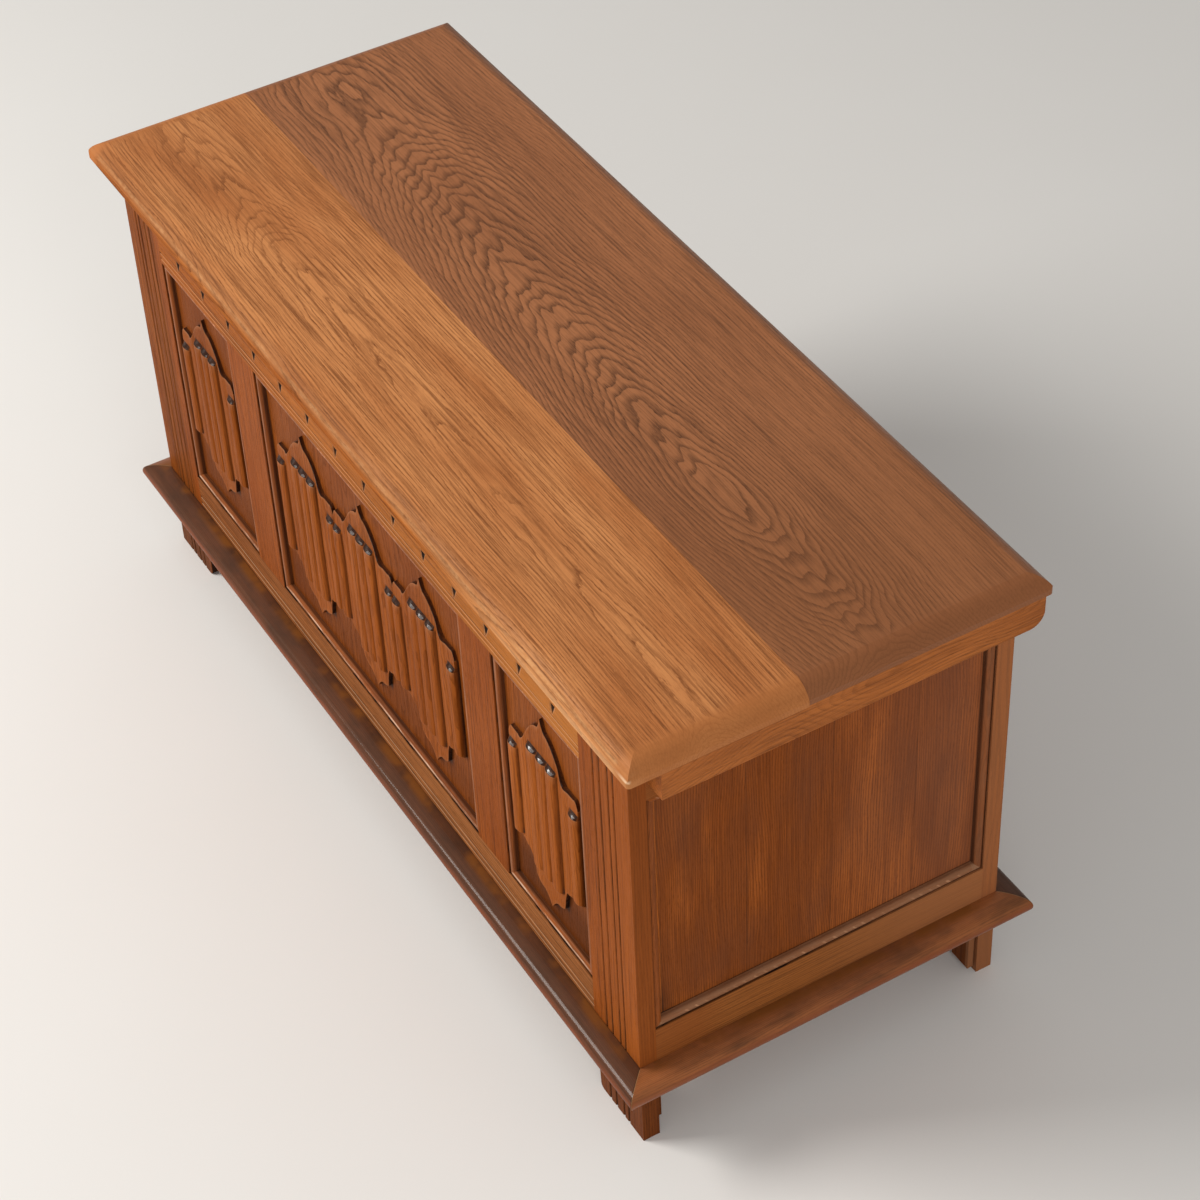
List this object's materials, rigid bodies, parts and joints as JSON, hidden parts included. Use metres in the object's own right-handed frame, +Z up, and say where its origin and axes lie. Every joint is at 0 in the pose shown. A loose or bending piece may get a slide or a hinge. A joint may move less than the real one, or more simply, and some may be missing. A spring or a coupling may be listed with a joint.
{
  "type": "coffer chest",
  "caption": "Framed oak coffer with carved linenfold front panels, nosed plinth moulding, stile feet and a plank lid turning on wooden pin hinges.",
  "frame": {"origin": "on the floor under the middle of the body, which is the centre of the bounding box's base", "axes": "+X to the right of somebody facing the carved front, along the chest's length; +Y from the front to the back; +Z up"},
  "size_m": [1.1, 0.4566, 0.542],
  "materials": {
    "oak_frame": "stained oak, satin varnish",
    "oak_carved": "stained oak, carved, satin varnish",
    "oak_panel": "stained oak boards, satin varnish",
    "oak_bead": "stained oak moulding, satin varnish",
    "oak_plinth": "dark stained oak, satin varnish",
    "oak_inside": "plain oak, unvarnished",
    "oak_lid_front": "golden stained oak, satin varnish",
    "oak_lid_rear": "brown stained oak, satin varnish",
    "oak_cleat": "stained oak, satin varnish",
    "oak_pin": "turned oak",
    "screw_steel": "zinc plated"
  },
  "bodies": {
    "chest": {"stile_front_right": "oak_frame", "stile_front_left": "oak_frame", "stile_rear_right": "oak_frame", "stile_rear_left": "oak_frame", "rail_front_top": "oak_frame", "rail_front_bottom": "oak_frame", "rail_rear_top": "oak_frame", "rail_rear_bottom": "oak_frame", "rail_end_top_right": "oak_frame", "rail_end_top_left": "oak_frame", "rail_end_bottom_right": "oak_frame", "rail_end_bottom_left": "oak_frame", "muntin_front_right": "oak_frame", "muntin_front_left": "oak_frame", "muntin_rear": "oak_frame", "panel_linenfold_right": "oak_carved", "panel_linenfold_left": "oak_carved", "panel_linenfold_centre": "oak_carved", "panel_end_right": "oak_panel", "panel_end_left": "oak_panel", "panel_rear_left": "oak_panel", "panel_rear_right": "oak_panel", "beads_front_right": "oak_bead", "beads_front_left": "oak_bead", "beads_front_centre": "oak_bead", "beads_end_right": "oak_bead", "beads_end_left": "oak_bead", "plinth_front": "oak_plinth", "plinth_rear": "oak_plinth", "plinth_right": "oak_plinth", "plinth_left": "oak_plinth", "bearer_front": "oak_inside", "bearer_rear": "oak_inside", "bearer_right": "oak_inside", "bearer_left": "oak_inside", "bottom_board_1": "oak_inside", "bottom_board_2": "oak_inside", "bottom_board_3": "oak_inside", "foot_blocks": "oak_inside", "hinge_pin_right": "oak_pin", "hinge_pin_left": "oak_pin"},
    "lid": {"lid_board_front": "oak_lid_front", "lid_board_rear": "oak_lid_rear", "lid_cleat_right": "oak_cleat", "lid_cleat_left": "oak_cleat", "cleat_screws_right": "screw_steel", "cleat_screws_left": "screw_steel"}
  },
  "joints": [
    {"name": "lid_hinge", "type": "hinge", "parent": "chest", "child": "lid", "pos_m": [0, 0.193, 0.501], "axis": [-1, 0, 0], "range_deg": [0, 105]}
  ]
}
